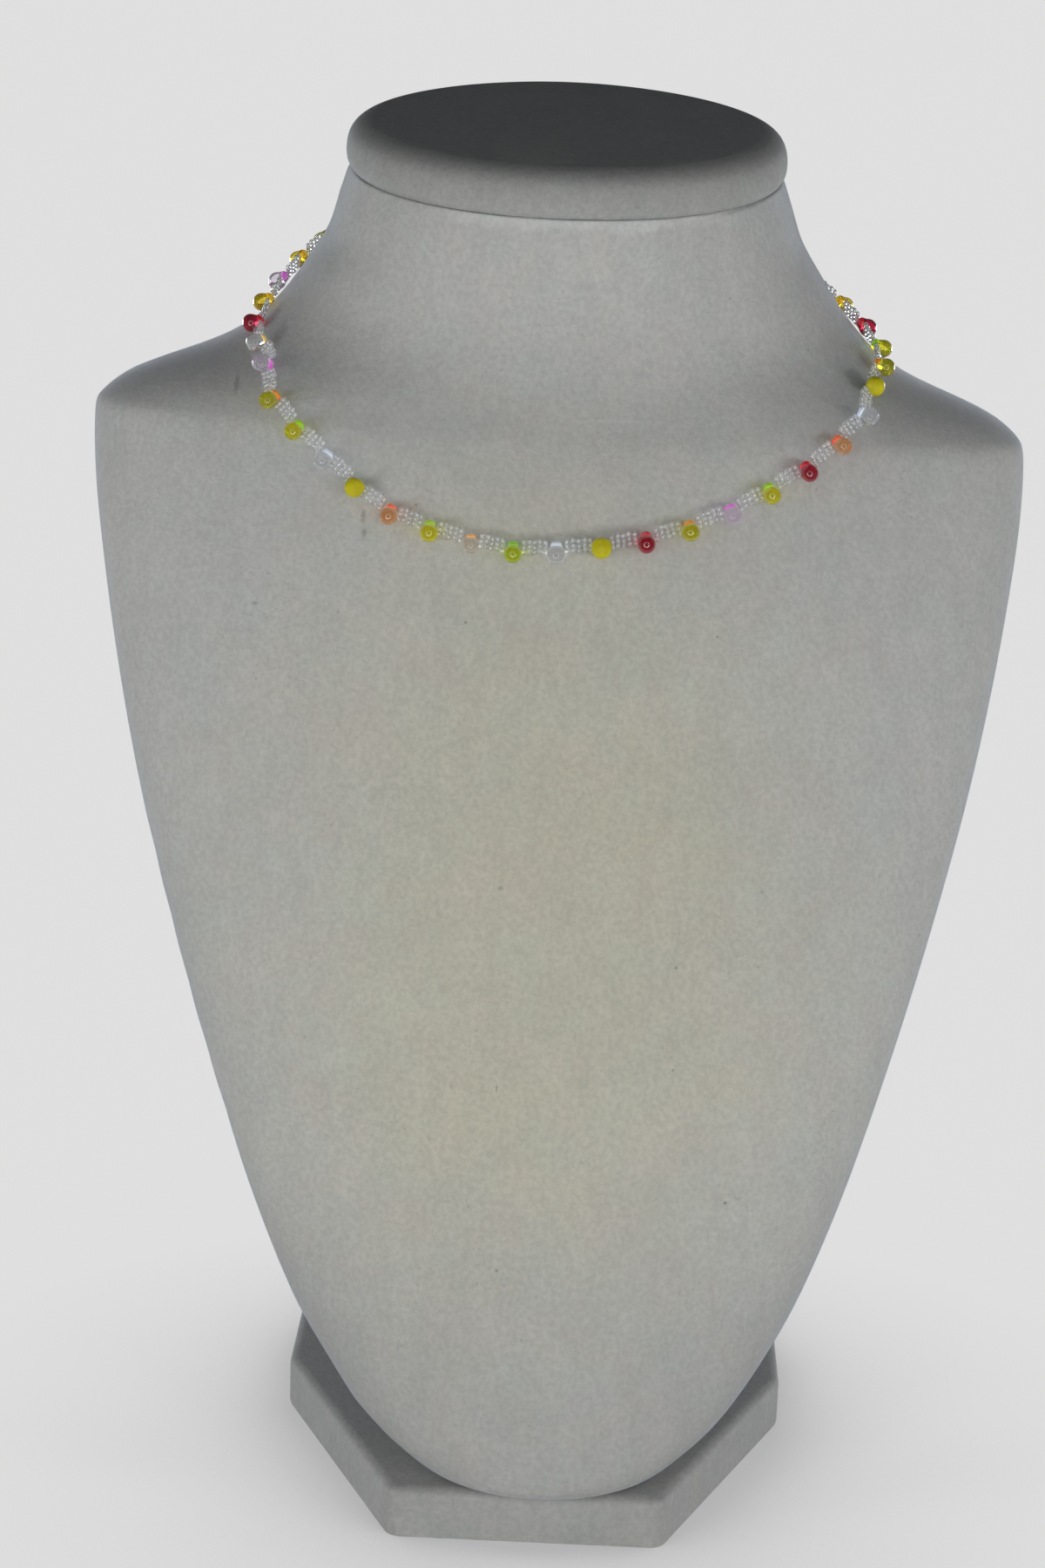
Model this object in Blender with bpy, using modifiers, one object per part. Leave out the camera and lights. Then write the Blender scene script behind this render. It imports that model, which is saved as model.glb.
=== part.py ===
"""A beaded choker on the plain velvet neck bust that holds it.

Metres, +Z up, the foot faces -Y and the viewer's right is +X. The bust is turned a little on
the foot, to the viewer's right. While it is built, the foot's front face stands on y = 0. At the end everything moves so that the middle of the whole
object's box stands over the origin, with the foot's underside on z = 0.
"""

import bpy
import bmesh
from math import ceil, copysign, cos, degrees, pi, radians, sin, tan
from mathutils import Matrix, Vector

# Foot
FOOT_WIDTH = 0.1134
FOOT_FRONT_WIDTH = 0.058
FOOT_DEPTH = 0.150
FOOT_SIDE_LENGTH = 0.0336
FOOT_THICKNESS = 0.0114
FOOT_EDGE_ROUND = 0.0022

# Bust: each size is measured at its widest line or at the height that its name gives
SEAT_GAP = 0.0003
SHOULDER_HEIGHT = 0.2133
NECK_HEIGHT = 0.0553
SHOULDER_WIDTH = 0.2080
NECK_WIDTH = 0.0964
TIP_SETBACK = 0.022
SHOULDER_SETBACK = 0.092
NECK_SETBACK = 0.105
CHEST_FRONT_DEPTH = 0.035
CHEST_BACK_DEPTH = 0.030
NECK_FRONT_DEPTH = 0.0435
NECK_BACK_DEPTH = 0.0432
FRONT_ROUNDNESS = 2.1
BACK_ROUNDNESS = 1.9
BUST_TURN = radians(3.3)
BUST_SHIFT = 0.0028
SIDE_LEAN = radians(1.25)
SHOULDER_SLOPE = radians(1.35)
NECK_TILT = radians(10.0)
BUST_SIDES = 32
CHEST_RING_STEP = 0.014
NECK_RING_STEP = 0.0032

# Neck cap
CAP_GAP = 0.0003
CAP_THICKNESS = 0.0095
CAP_OVERHANG = 0.0008
CAP_RIM_ROUND = 0.0056
CAP_LOWER_ROUND = 0.0012

# Choker
DROP_LENGTH = 0.0050
DROP_WIDTH = 0.0039
DROP_BORE = 0.0010
DROP_SIDES = 10
DROP_CLEARANCE = 0.0003
PANEL_HEIGHT = 0.0031
PANEL_THICKNESS = 0.0015
PANEL_END_HEIGHT = 0.0017
PANEL_END_ROUND = 0.0006
PANEL_CLEARANCE = 0.0008
THREAD = 0.00036
CLASP_WIDTH = 0.0024
CLASP_LENGTH = 0.0080
CLASP_SIDES = 12
CLASP_END_TAPER = 0.0010

# Fineness: how many flats or steps a round stretch has, and how finely surfaces are probed
BORE_SIDES = 8
FOOT_EDGE_STEPS = 3
CAP_RIM_STEPS = 4
ROUTE_SAMPLES = 720
SEAT_TRIES = 4
TURN_PROBE = 0.01
HEIGHT_PROBE = 0.0003
MERGE_DISTANCE = 0.00001
SHARP_ANGLE = radians(40)

# The chest from the foot to the shoulder line. Up is a share of SHOULDER_HEIGHT, wide of
# half SHOULDER_WIDTH, set of the way from TIP_SETBACK to SHOULDER_SETBACK, front and back
# of the chest's two depths, and slope of SHOULDER_SLOPE.
CHEST_COLUMNS = ("up", "wide", "set", "front", "back", "slope")
CHEST_ROWS = (
    (0.000, 0.260, 0.000, 0.70, 0.46, 0.0),
    (0.006, 0.283, 0.000, 0.76, 0.55, 0.0),
    (0.020, 0.319, 0.000, 0.77, 0.61, 0.0),
    (0.040, 0.372, 0.007, 0.76, 0.68, 0.0),
    (0.072, 0.428, 0.030, 0.74, 0.73, 0.0),
    (0.133, 0.511, 0.085, 0.77, 0.75, 0.0),
    (0.226, 0.601, 0.170, 0.80, 0.77, 0.0),
    (0.320, 0.675, 0.257, 0.83, 0.80, 0.0),
    (0.508, 0.801, 0.443, 0.89, 0.84, 0.0),
    (0.695, 0.905, 0.643, 0.94, 0.89, 0.2),
    (0.883, 0.978, 0.857, 1.00, 0.93, 0.75),
    (0.953, 0.996, 0.943, 1.00, 0.98, 0.95),
    (1.000, 1.000, 1.000, 1.00, 1.00, 1.0),
)

# The shoulders and the neck. Up is a share of NECK_HEIGHT, flare of the way out from half
# NECK_WIDTH to half SHOULDER_WIDTH, the next three of the way from the shoulder line's
# measure to the neck's, slope of SHOULDER_SLOPE and tilt of NECK_TILT.
NECK_COLUMNS = ("up", "flare", "set", "front", "back", "slope", "tilt")
NECK_ROWS = (
    (0.129, 0.870, 0.31, 0.06, 0.15, 1.0, 0.0),
    (0.240, 0.575, 0.54, 0.12, 0.30, 1.0, 0.0),
    (0.332, 0.405, 0.69, 0.18, 0.45, 0.8, 0.0),
    (0.461, 0.275, 0.85, 0.35, 0.60, 0.5, 0.15),
    (0.609, 0.170, 0.92, 0.53, 0.80, 0.2, 0.37),
    (0.756, 0.080, 1.00, 0.82, 0.95, 0.0, 0.60),
    (0.867, 0.045, 1.00, 0.94, 1.00, 0.0, 0.80),
    (1.000, 0.000, 1.00, 1.00, 1.00, 0.0, 1.00),
)

# The choker's route over the bust: degrees round the bust from the foot's front, to the viewer's
# right, and the height of the thread as a share of the way from the foot to the neck's top.
ROUTE_COLUMNS = ("turn", "height")
ROUTE = (
    (-1.5, 0.7215),
    (10.0, 0.7305),
    (20.0, 0.7510),
    (29.0, 0.7815),
    (40.0, 0.8170),
    (58.0, 0.8450),
    (84.0, 0.8685),
    (105.0, 0.8950),
    (140.0, 0.9320),
    (180.0, 0.9480),
    (222.0, 0.9460),
    (252.0, 0.9280),
    (274.0, 0.8945),
    (294.0, 0.8620),
    (309.0, 0.8470),
    (322.0, 0.8250),
    (332.0, 0.7960),
    (342.0, 0.7485),
    (351.0, 0.7290),
)

# Spacings from drop to drop, the clasp counted as one, over each stretch of the loop. The
# stretches run from the nape round by the viewer's left, as shares of the loop's length.
SPACING_COLUMNS = ("start", "end", "count")
SPACINGS = (
    (0.000, 0.191, 8),
    (0.191, 0.5035, 14),
    (0.5035, 1.000, 21),
)

# The flat round each mouth of the clasp, as a share of the way from its bore to its side
CLASP_MOUTH = 0.6

# A drop's outline: shares of DROP_LENGTH up from the bore's axis, and of half DROP_WIDTH
DROP_COLUMNS = ("up", "wide")
DROP_PROFILE = (
    (0.21, 0.00),
    (0.16, 0.40),
    (0.03, 0.60),
    (-0.13, 0.70),
    (-0.26, 0.93),
    (-0.44, 1.00),
    (-0.66, 0.78),
    (-0.79, 0.00),
)

# A band panel's section: shares of half PANEL_HEIGHT up and half PANEL_THICKNESS out
PANEL_SECTION = ((1.0, 0.0), (0.78, 1.0), (-0.78, 1.0), (-1.0, 0.0), (-0.78, -1.0), (0.78, -1.0))

VELVET = dict(colour=(0.62, 0.60, 0.52), roughness=0.95)
VELVET_CAP = dict(colour=(0.58, 0.57, 0.51), roughness=0.95)
VELVET_FOOT = dict(colour=(0.55, 0.56, 0.54), roughness=0.95)
CLEAR_GLASS = dict(colour=(0.86, 0.88, 0.88), roughness=0.12)
CLASP_METAL = dict(colour=(0.75, 0.76, 0.77), roughness=0.3, metallic=1.0)
DROP_ROUGHNESS = 0.08
DROP_COLOURS = {
    "yellow": (0.72, 0.55, 0.03),
    "lemon": (0.80, 0.72, 0.05),
    "red": (0.55, 0.02, 0.02),
    "olive": (0.42, 0.42, 0.04),
    "lime": (0.35, 0.55, 0.04),
    "peach": (0.80, 0.42, 0.22),
    "clear": (0.82, 0.83, 0.83),
    "lilac": (0.76, 0.66, 0.78),
}
# From the nape round by the viewer's left, the front and the viewer's right
DROP_ORDER = (
    "red", "clear", "peach", "lime", "clear", "lemon", "olive",
    "yellow", "lilac", "yellow", "red", "clear", "lilac", "olive", "lime", "clear",
    "lemon", "peach", "lime", "clear", "lime", "clear", "lemon", "red", "olive",
    "lilac", "lime", "red", "peach", "clear", "lemon", "olive", "lime", "red", "yellow",
    "clear", "peach", "lime", "red", "lemon", "clear", "olive",
)


def reset():
    for item in list(bpy.data.objects):
        bpy.data.objects.remove(item, do_unlink=True)


def make_collection(name):
    group = bpy.data.collections.new(name)
    bpy.context.scene.collection.children.link(group)
    return group


def make_material(name, colour, roughness, metallic=0.0):
    made = bpy.data.materials.new(name)
    made.use_nodes = True
    shader = made.node_tree.nodes["Principled BSDF"]
    shader.inputs["Base Color"].default_value = (*colour, 1.0)
    shader.inputs["Roughness"].default_value = roughness
    shader.inputs["Metallic"].default_value = metallic
    return made


def add_object(group, name, mesh):
    item = bpy.data.objects.new(name, mesh)
    group.objects.link(item)
    mesh.shade_smooth()
    mesh.set_sharp_from_angle(angle=SHARP_ANGLE)
    return item


def mix(low, high, share):
    return low + (high - low) * share


def cubic(low, high, start, end, t):
    """From low to high as t goes from 0 to 1, with the slopes start and end there."""
    rise = high - low
    return low + start * t + (3 * rise - 2 * start - end) * t ** 2 + (start + end - 2 * rise) * t ** 3


# The bust's surface


def section_of_chest(row):
    cell = dict(zip(CHEST_COLUMNS, row))
    return dict(
        z=FOOT_THICKNESS + SEAT_GAP + cell["up"] * SHOULDER_HEIGHT,
        half=cell["wide"] * SHOULDER_WIDTH / 2,
        middle=mix(TIP_SETBACK, SHOULDER_SETBACK, cell["set"]),
        front=cell["front"] * CHEST_FRONT_DEPTH,
        back=cell["back"] * CHEST_BACK_DEPTH,
        slope=cell["slope"] * tan(SHOULDER_SLOPE),
        tilt=0.0,
    )


def section_of_neck(row):
    cell = dict(zip(NECK_COLUMNS, row))
    return dict(
        z=FOOT_THICKNESS + SEAT_GAP + SHOULDER_HEIGHT + cell["up"] * NECK_HEIGHT,
        half=mix(NECK_WIDTH, SHOULDER_WIDTH, cell["flare"]) / 2,
        middle=mix(SHOULDER_SETBACK, NECK_SETBACK, cell["set"]),
        front=mix(CHEST_FRONT_DEPTH, NECK_FRONT_DEPTH, cell["front"]),
        back=mix(CHEST_BACK_DEPTH, NECK_BACK_DEPTH, cell["back"]),
        slope=cell["slope"] * tan(SHOULDER_SLOPE),
        tilt=cell["tilt"] * tan(NECK_TILT),
    )


def all_sections():
    return [section_of_chest(row) for row in CHEST_ROWS] + [section_of_neck(row) for row in NECK_ROWS]


def slopes_of(xs, ys):
    """Slopes for a smooth curve through the points that never overshoots them."""
    steps = [(ys[i + 1] - ys[i]) / (xs[i + 1] - xs[i]) for i in range(len(xs) - 1)]
    slopes = [steps[0]]
    for before, after in zip(steps, steps[1:]):
        same_way = before * after > 0
        slopes.append(2 * before * after / (before + after) if same_way else 0.0)
    slopes.append(steps[-1])
    return slopes


def on_curve(xs, ys, slopes, x):
    k = max(i for i in range(len(xs) - 1) if xs[i] <= x or i == 0)
    span = xs[k + 1] - xs[k]
    t = min(max((x - xs[k]) / span, 0.0), 1.0)
    return cubic(ys[k], ys[k + 1], slopes[k] * span, slopes[k + 1] * span, t)


SECTIONS = all_sections()
LEVELS = [section["z"] for section in SECTIONS]
MEASURES = ("half", "middle", "front", "back", "slope", "tilt")
CURVES = {key: [section[key] for section in SECTIONS] for key in MEASURES}
SLOPES = {key: slopes_of(LEVELS, CURVES[key]) for key in MEASURES}
NECK_TOP = LEVELS[-1]


def section_at(z):
    return {key: on_curve(LEVELS, CURVES[key], SLOPES[key], z) for key in MEASURES}


def rounded(value, roundness):
    return copysign(abs(value) ** (2 / roundness), value)


def bust_point(z, turn, grow=0.0, lift=0.0):
    """A point of the bust: turn is 0 at its front and grows towards the viewer's right."""
    here = section_at(z)
    ahead = cos(turn) > 0
    roundness = FRONT_ROUNDNESS if ahead else BACK_ROUNDNESS
    depth = (here["front"] if ahead else here["back"]) + grow
    across = (here["half"] + grow) * rounded(sin(turn), roundness)
    inward = -depth * rounded(cos(turn), roundness)
    raised = z - here["slope"] * across + here["tilt"] * inward + lift
    x = across * cos(BUST_TURN) - inward * sin(BUST_TURN) - tan(SIDE_LEAN) * (z - FOOT_THICKNESS)
    y = here["middle"] + across * sin(BUST_TURN) + inward * cos(BUST_TURN)
    return Vector((x + BUST_SHIFT, y, raised))


def bust_normal(z, turn):
    across = bust_point(z, turn + TURN_PROBE) - bust_point(z, turn - TURN_PROBE)
    up = bust_point(z + HEIGHT_PROBE, turn) - bust_point(z - HEIGHT_PROBE, turn)
    return across.cross(up).normalized()


# Closed lofts


def loft(name, rings, material, closed_loop=False):
    """Rings of equally many points, joined by quads; the ends get flat faces unless looped."""
    bm = bmesh.new()
    made = [[bm.verts.new(point) for point in ring] for ring in rings]
    pairs = list(zip(made, made[1:]))
    if closed_loop:
        pairs.append((made[-1], made[0]))
    for low, high in pairs:
        count = len(low)
        for k in range(count):
            bm.faces.new((low[k], low[(k + 1) % count], high[(k + 1) % count], high[k]))
    if not closed_loop:
        bm.faces.new(list(reversed(made[0])))
        bm.faces.new(made[-1])
    bmesh.ops.recalc_face_normals(bm, faces=bm.faces)
    return mesh_from(bm, name, material)


def mesh_from(bm, name, material):
    mesh = bpy.data.meshes.new(name)
    bm.to_mesh(mesh)
    bm.free()
    mesh.materials.append(material)
    return mesh


def turns():
    return [2 * pi * k / BUST_SIDES for k in range(BUST_SIDES)]


def ring_levels():
    levels = []
    for index, (low, high) in enumerate(zip(LEVELS, LEVELS[1:])):
        step = CHEST_RING_STEP if index < len(CHEST_ROWS) - 1 else NECK_RING_STEP
        parts = ceil((high - low) / step)
        levels += [mix(low, high, k / parts) for k in range(parts)]
    return levels + [LEVELS[-1]]


def build_torso(group):
    rings = [[bust_point(z, turn) for turn in turns()] for z in ring_levels()]
    add_object(group, "bust_torso", loft("bust_torso", rings, make_material("velvet", **VELVET)))


def build_cap(group):
    """Rings that step out past the neck, straight up, and in over the rounded rim."""
    steps = [(CAP_OVERHANG - CAP_LOWER_ROUND, 0.0), (CAP_OVERHANG, CAP_LOWER_ROUND)]
    for k in range(CAP_RIM_STEPS + 1):
        swing = pi / 2 * k / CAP_RIM_STEPS
        inward = CAP_OVERHANG - CAP_RIM_ROUND * (1 - cos(swing))
        steps.append((inward, CAP_THICKNESS - CAP_RIM_ROUND * (1 - sin(swing))))
    rings = [[bust_point(NECK_TOP, turn, grow, CAP_GAP + lift) for turn in turns()] for grow, lift in steps]
    add_object(group, "neck_cap", loft("neck_cap", rings, make_material("velvet_cap", **VELVET_CAP)))


def build_foot(group):
    side = FOOT_WIDTH / 2
    front = FOOT_FRONT_WIDTH / 2
    corner = (FOOT_DEPTH - FOOT_SIDE_LENGTH) / 2
    half_outline = [(front, 0.0), (side, corner), (side, corner + FOOT_SIDE_LENGTH), (front, FOOT_DEPTH)]
    outline = half_outline + [(-x, y) for x, y in reversed(half_outline)]
    bm = bmesh.new()
    face = bm.faces.new([bm.verts.new((x, y, 0.0)) for x, y in outline])
    grown = bmesh.ops.extrude_face_region(bm, geom=[face])
    top = [v for v in grown["geom"] if isinstance(v, bmesh.types.BMVert)]
    bmesh.ops.translate(bm, verts=top, vec=(0, 0, FOOT_THICKNESS))
    bmesh.ops.recalc_face_normals(bm, faces=bm.faces)
    edges = [e for e in bm.edges if max(v.co.z for v in e.verts) > FOOT_THICKNESS / 2]
    bmesh.ops.bevel(bm, geom=edges, offset=FOOT_EDGE_ROUND, segments=FOOT_EDGE_STEPS, profile=0.5,
                    affect="EDGES")
    material = make_material("velvet_foot", **VELVET_FOOT)
    add_object(group, "bust_foot", mesh_from(bm, "bust_foot", material))


# The choker's route


def drop_cells():
    return [dict(zip(DROP_COLUMNS, row)) for row in DROP_PROFILE]


def drop_radius(up):
    """The drop's radius at a height above its bore's axis."""
    cells = drop_cells()
    for upper, lower in zip(cells, cells[1:]):
        if upper["up"] >= up / DROP_LENGTH >= lower["up"]:
            share = (up / DROP_LENGTH - lower["up"]) / (upper["up"] - lower["up"])
            return mix(lower["wide"], upper["wide"], share) * DROP_WIDTH / 2
    return 0.0


# How far the thread runs off the bust, so that nothing threaded on it digs in
STANDOFF = max(drop_radius(0.0), CLASP_WIDTH / 2, PANEL_THICKNESS / 2) + DROP_CLEARANCE


def looped_route():
    """The route's turns and heights, with two rows of the next turn at each end."""
    rows = [dict(zip(ROUTE_COLUMNS, row)) for row in ROUTE]
    turn = [row["turn"] for row in rows]
    height = [row["height"] for row in rows]
    wide = [x - 360 for x in turn[-2:]] + turn + [x + 360 for x in turn[:2]]
    return wide, height[-2:] + height + height[:2]


def route_height(turn):
    """Smooth height over one turn of the route, which closes on itself."""
    xs, ys = looped_route()
    x = (turn - xs[1]) % 360 + xs[1]
    k = max(i for i in range(1, len(xs) - 2) if xs[i] <= x)
    span = xs[k + 1] - xs[k]
    start = (ys[k + 1] - ys[k - 1]) / (xs[k + 1] - xs[k - 1]) * span
    end = (ys[k + 2] - ys[k]) / (xs[k + 2] - xs[k]) * span
    share = cubic(ys[k], ys[k + 1], start, end, (x - xs[k]) / span)
    return mix(FOOT_THICKNESS + SEAT_GAP, NECK_TOP, share)


def bust_turn(turn):
    """The bust's own turn, in radians, for the route's turn in degrees from the foot's front."""
    return radians(turn) - BUST_TURN


def thread_point(turn):
    """The thread's middle line, held off the bust, for a turn in degrees."""
    z = route_height(turn)
    return bust_point(z, bust_turn(turn)) + bust_normal(z, bust_turn(turn)) * STANDOFF


def measure_route():
    """Turns in degrees from the nape round to the nape, with the length run up to each."""
    marks = [180 + 360 * k / ROUTE_SAMPLES for k in range(ROUTE_SAMPLES + 1)]
    points = [thread_point(mark) for mark in marks]
    run = [0.0]
    for a, b in zip(points, points[1:]):
        run.append(run[-1] + (b - a).length)
    return marks, run


MARKS, RUN = measure_route()
LOOP_LENGTH = RUN[-1]


def bead_places():
    """Lengths along the loop of the clasp's middle, each drop, and the clasp's middle again."""
    places = [0.0]
    for row in SPACINGS:
        stretch = dict(zip(SPACING_COLUMNS, row))
        for k in range(1, stretch["count"] + 1):
            places.append(mix(stretch["start"], stretch["end"], k / stretch["count"]) * LOOP_LENGTH)
    return places


PLACES = bead_places()


def turn_at(length):
    length = length % LOOP_LENGTH
    k = max(i for i in range(ROUTE_SAMPLES) if RUN[i] <= length)
    return mix(MARKS[k], MARKS[k + 1], (length - RUN[k]) / (RUN[k + 1] - RUN[k]))


def frame_at(length):
    """Place, the thread's way, the way off the bust, and the way up across the band."""
    turn = turn_at(length)
    place = thread_point(turn)
    step = degrees(TURN_PROBE)
    along = (thread_point(turn + step) - thread_point(turn - step)).normalized()
    off = bust_normal(route_height(turn), bust_turn(turn))
    up = off.cross(along).normalized()
    return place, along, along.cross(up), up


def band_ring(length, high, thick):
    place, _, off, up = frame_at(length)
    return [place + up * (a * high / 2) + off * (b * thick / 2) for a, b in PANEL_SECTION]


def build_band(group):
    """Panels of three rows of beads, and bare thread where it runs through drops and clasp."""
    rings = []
    beside_clasp = CLASP_LENGTH / 2 + DROP_CLEARANCE
    beside_drop = drop_radius(0.0) + PANEL_CLEARANCE
    for left, right in zip(PLACES, PLACES[1:]):
        start = left + (beside_clasp if left == PLACES[0] else beside_drop)
        end = right - (beside_clasp if right == PLACES[-1] else beside_drop)
        rings.append(band_ring(start, THREAD, THREAD))
        rings.append(band_ring(start, PANEL_END_HEIGHT, PANEL_THICKNESS))
        for share in (0.0, 0.5, 1.0):
            length = mix(start + PANEL_END_ROUND, end - PANEL_END_ROUND, share)
            rings.append(band_ring(length, PANEL_HEIGHT, PANEL_THICKNESS))
        rings.append(band_ring(end, PANEL_END_HEIGHT, PANEL_THICKNESS))
        rings.append(band_ring(end, THREAD, THREAD))
    material = make_material("clear_beads", **CLEAR_GLASS)
    add_object(group, "seed_band", loft("seed_band", rings, material, closed_loop=True))


# Turned pieces


def turned_blank(name, profile, sides, closed=False):
    """An outline of (radius, height) from top to bottom, turned round Z."""
    mesh = bpy.data.meshes.new(name + "_outline")
    points = [(radius, 0.0, height) for radius, height in profile]
    links = [(k, k + 1) for k in range(len(points) - 1)]
    if closed:
        links.append((len(points) - 1, 0))
    mesh.from_pydata(points, links, [])
    blank = bpy.data.objects.new(name + "_blank", mesh)
    bpy.context.scene.collection.objects.link(blank)
    screw = blank.modifiers.new("Screw", "SCREW")
    screw.steps = sides
    screw.render_steps = sides
    screw.use_merge_vertices = True
    screw.merge_threshold = MERGE_DISTANCE
    return blank


def cross_bore(blank, width, length):
    """Drill the blank along X through the origin."""
    mesh = bpy.data.meshes.new("bore")
    bm = bmesh.new()
    bmesh.ops.create_cone(bm, cap_ends=True, segments=BORE_SIDES, radius1=width / 2,
                          radius2=width / 2, depth=length, matrix=Matrix.Rotation(pi / 2, 4, "Y"))
    bm.to_mesh(mesh)
    bm.free()
    drill = bpy.data.objects.new("bore", mesh)
    drill.hide_render = True
    drill.display_type = "WIRE"
    bpy.context.scene.collection.objects.link(drill)
    cut = blank.modifiers.new("Bore", "BOOLEAN")
    cut.operation = "DIFFERENCE"
    cut.solver = "EXACT"
    cut.object = drill
    return drill


def finished_mesh(name, material, blank, *tools):
    graph = bpy.context.evaluated_depsgraph_get()
    mesh = bpy.data.meshes.new_from_object(blank.evaluated_get(graph))
    mesh.name = name
    for item in (blank, *tools):
        bpy.data.objects.remove(item, do_unlink=True)
    mesh.materials.clear()
    mesh.materials.append(material)
    return mesh


def drop_mesh(colour):
    profile = [(cell["wide"] * DROP_WIDTH / 2, cell["up"] * DROP_LENGTH) for cell in drop_cells()]
    blank = turned_blank("drop", profile, DROP_SIDES)
    drill = cross_bore(blank, DROP_BORE, 2 * DROP_WIDTH)
    material = make_material("glass_" + colour, DROP_COLOURS[colour], DROP_ROUGHNESS)
    return finished_mesh("drop_" + colour, material, blank, drill)


def seat_drop(length):
    """Bore on the thread, with the belly hung across the band and laid against the bust."""
    place, along, off, up = frame_at(length)
    belly = max(drop_cells(), key=lambda cell: cell["wide"])
    turn = turn_at(length)
    z = route_height(turn)
    turn = bust_turn(turn)
    below = place + up * belly["up"] * DROP_LENGTH - off * STANDOFF
    for _ in range(SEAT_TRIES):
        base = bust_point(z, turn)
        across = (bust_point(z, turn + TURN_PROBE) - base) / TURN_PROBE
        upward = (bust_point(z + HEIGHT_PROBE, turn) - base) / HEIGHT_PROBE
        miss = below - base
        turn += miss.dot(across) / across.length_squared
        z += miss.dot(upward) / upward.length_squared
    centre = bust_point(z, turn) + bust_normal(z, turn) * (DROP_WIDTH / 2 + DROP_CLEARANCE)
    upward = place - centre
    upward = (upward - along * upward.dot(along)).normalized()
    return Matrix.Translation(place) @ Matrix((along, upward.cross(along), upward)).transposed().to_4x4()


def build_drops(group):
    shapes = {colour: drop_mesh(colour) for colour in DROP_COLOURS}
    for index, place in enumerate(PLACES[1:-1]):
        mesh = shapes[DROP_ORDER[index % len(DROP_ORDER)]]
        item = add_object(group, "drop_%02d" % (index + 1), mesh)
        item.matrix_world = seat_drop(place)


def build_clasp(group):
    """A slim barrel round the thread at the nape, drawn in at both ends."""
    half = CLASP_LENGTH / 2
    radius = CLASP_WIDTH / 2
    bore = DROP_BORE / 2
    upper = [(bore, half), (mix(bore, radius, CLASP_MOUTH), half), (radius, half - CLASP_END_TAPER)]
    lower = [(x, -y) for x, y in reversed(upper)]
    blank = turned_blank("clasp", upper + lower, CLASP_SIDES, closed=True)
    material = make_material("clasp_metal", **CLASP_METAL)
    item = add_object(group, "clasp", finished_mesh("clasp", material, blank))
    place, along, off, up = frame_at(0.0)
    item.matrix_world = Matrix.Translation(place) @ Matrix((off, up, along)).transposed().to_4x4()


def centre_on_origin(group):
    """Stand the middle of the whole box over the origin, with the underside on z = 0."""
    bpy.context.view_layer.update()
    corners = [item.matrix_world @ vert.co for item in group.objects for vert in item.data.vertices]
    middle = [(min(p[k] for p in corners) + max(p[k] for p in corners)) / 2 for k in (0, 1)]
    shift = Matrix.Translation((-middle[0], -middle[1], 0.0))
    for item in group.objects:
        item.matrix_world = shift @ item.matrix_world
    print("foot front at y = %.5f, middle of the foot at x = %.5f" % (-middle[1], -middle[0]))


def main():
    reset()
    group = make_collection("choker_on_bust")
    build_foot(group)
    build_torso(group)
    build_cap(group)
    build_band(group)
    build_drops(group)
    build_clasp(group)
    centre_on_origin(group)
    print("loop %.4f m with %d drops" % (LOOP_LENGTH, len(PLACES) - 2))


main()
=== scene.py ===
# %% [markdown]
# # A beaded choker on its velvet bust
# The real thing is a narrow band of clear seed beads, three beads high, with a glass drop
# set into it every centimetre. It is closed round a hard bust covered in off-white velvet.
# The frame already holds every piece at its real size and in its real place. This script
# dresses it: it makes the forms that are too fine for the frame, and gives each its finish.

# %% Load the frame
import math
import random

import bmesh
import bpy
from mathutils import Matrix, Vector
from mathutils.bvhtree import BVHTree
from mathutils.kdtree import KDTree


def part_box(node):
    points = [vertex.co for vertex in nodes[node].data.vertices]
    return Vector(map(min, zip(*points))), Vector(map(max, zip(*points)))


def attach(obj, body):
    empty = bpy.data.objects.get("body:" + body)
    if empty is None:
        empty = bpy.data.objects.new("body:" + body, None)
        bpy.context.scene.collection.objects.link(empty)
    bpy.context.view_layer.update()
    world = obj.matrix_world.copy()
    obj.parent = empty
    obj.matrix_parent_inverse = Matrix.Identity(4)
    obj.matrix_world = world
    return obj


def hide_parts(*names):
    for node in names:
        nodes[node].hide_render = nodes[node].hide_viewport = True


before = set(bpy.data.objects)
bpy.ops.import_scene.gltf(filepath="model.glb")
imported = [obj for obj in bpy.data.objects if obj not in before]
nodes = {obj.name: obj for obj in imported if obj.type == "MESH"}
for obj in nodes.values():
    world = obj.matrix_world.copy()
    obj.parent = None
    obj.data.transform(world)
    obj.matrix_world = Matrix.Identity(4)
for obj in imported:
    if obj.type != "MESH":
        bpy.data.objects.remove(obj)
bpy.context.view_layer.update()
MM = 0.001
dice = random.Random(7)

# %% [markdown]
# ## Where the picture is taken from
# The lens stands a little above the neck and looks down at the chest, so the flat top of
# the neck shows as a thin oval. The place is measured from the foot, whose front edge is the
# nearest straight line in the picture: across from its middle, out from its front face, up.

# %% The camera
LENS = 68.0
SENSOR = 36.0
SEES_TO = 100.0
LENS_ACROSS = 0.008737
LENS_OUT = 0.562461
LENS_UP = 0.330391
LOOKS_DOWN = math.radians(16.07815)
LOOKS_ACROSS = math.radians(1.46355)
HELD_TURNED = math.radians(1.887688)

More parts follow.
